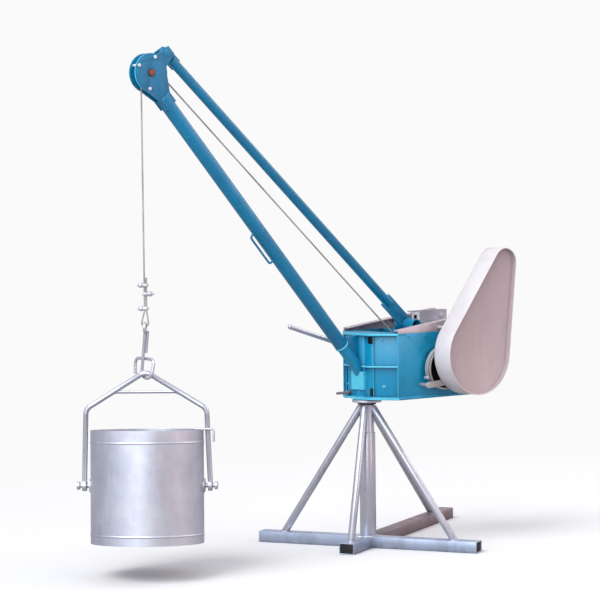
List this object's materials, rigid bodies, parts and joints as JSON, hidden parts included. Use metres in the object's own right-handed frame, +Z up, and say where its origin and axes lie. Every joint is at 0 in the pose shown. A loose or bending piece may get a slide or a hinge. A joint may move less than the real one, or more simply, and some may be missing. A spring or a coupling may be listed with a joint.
{
  "type": "davit hoist",
  "caption": "Slewing davit hoist: a braced cross base carries a turning winch head with a tubular jib, stay and rope sheave, which lifts a tipping bucket on a hook.",
  "frame": {"origin": "on the floor under the slewing axis", "axes": "+Z up along the slewing axis, +X along a side arm of the base, +Y along the long rear arm; the jib points to -X -Y at rest"},
  "size_m": [1.1783, 1.9165, 1.8325],
  "materials": {
    "blue_paint": "satin",
    "silver_paint": "satin",
    "pale_paint": "satin",
    "galvanised_steel": "satin",
    "bare_steel": "satin",
    "rusty_steel": "matte",
    "wire_rope": "satin",
    "black_plastic": "matte"
  },
  "bodies": {
    "base": {"cross_arm": "silver_paint", "front_arm_tube": "silver_paint", "rear_arm_tube": "silver_paint", "arm_plugs": "black_plastic", "post": "silver_paint", "brace_left": "silver_paint", "brace_right": "silver_paint", "brace_front": "silver_paint", "brace_rear": "silver_paint", "slew_seat": "silver_paint"},
    "head": {"head_floor": "blue_paint", "head_deck": "blue_paint", "head_sleeve": "blue_paint", "nose_panels": "blue_paint", "nose_ribs": "blue_paint", "side_plate_near": "blue_paint", "side_plate_far": "blue_paint", "rear_plate": "blue_paint", "slew_lock_screw": "bare_steel", "jib_spigot": "blue_paint", "jib_saddle": "blue_paint", "jib_gusset": "blue_paint", "jib_tube": "blue_paint", "jib_handle": "blue_paint", "cheek_near": "blue_paint", "cheek_far": "blue_paint", "cheek_spacers": "galvanised_steel", "sheave_axle": "rusty_steel", "stay": "blue_paint", "stay_pin": "bare_steel", "stay_anchor": "blue_paint", "frame_rail_near": "pale_paint", "frame_rail_far": "pale_paint", "motor_bracket": "pale_paint", "belt_guard": "pale_paint", "guard_back": "pale_paint", "guard_studs": "bare_steel", "shaft_housing": "bare_steel", "drum_bearings": "bare_steel", "rope_lead": "wire_rope", "lever_pivot": "bare_steel", "rope_fall": "wire_rope"},
    "load": {"rope_eye": "wire_rope", "rope_clips": "galvanised_steel", "hook": "galvanised_steel", "bail": "silver_paint"},
    "bucket": {"bucket": "galvanised_steel", "bucket_trunnions": "bare_steel", "bail_latch": "galvanised_steel"},
    "drum": {"winch_drum": "bare_steel", "wound_rope": "wire_rope", "brake_drum": "bare_steel"},
    "sheave": {"sheave": "bare_steel"},
    "lever": {"control_lever": "silver_paint"}
  },
  "joints": [
    {"name": "slew", "type": "hinge", "parent": "base", "child": "head", "pos_m": [0, 0, 0.554], "axis": [0, 0, 1], "continuous": true},
    {"name": "hoist", "type": "slide", "parent": "head", "child": "load", "axis": [0, 0, 1], "range_m": [-0.03, 0.45], "deforming": ["rope_fall"]},
    {"name": "bucket_tip", "type": "hinge", "parent": "load", "child": "bucket", "pos_m": [-0.45884, -0.88142, 0.316], "axis": [0.9397, 0.342, 0], "range_deg": [0, 120]},
    {"name": "drum_spin", "type": "hinge", "parent": "head", "child": "drum", "pos_m": [0.10066, 0.19337, 0.662], "axis": [0.887, -0.4617, 0], "range_deg": [-757, 55]},
    {"name": "sheave_spin", "type": "hinge", "parent": "head", "child": "sheave", "pos_m": [-0.44499, -0.85481, 1.73907], "axis": [0.887, -0.4617, 0], "range_deg": [-864, 62]},
    {"name": "brake_lever", "type": "hinge", "parent": "head", "child": "lever", "pos_m": [-0.11064, 0.18161, 0.719], "axis": [0.887, -0.4617, 0], "range_deg": [-10, 12]}
  ],
  "couplings": [
    {"joint": "drum_spin", "follows": "hoist", "rad_per_m": -29.154},
    {"joint": "sheave_spin", "follows": "hoist", "rad_per_m": -33.333}
  ]
}
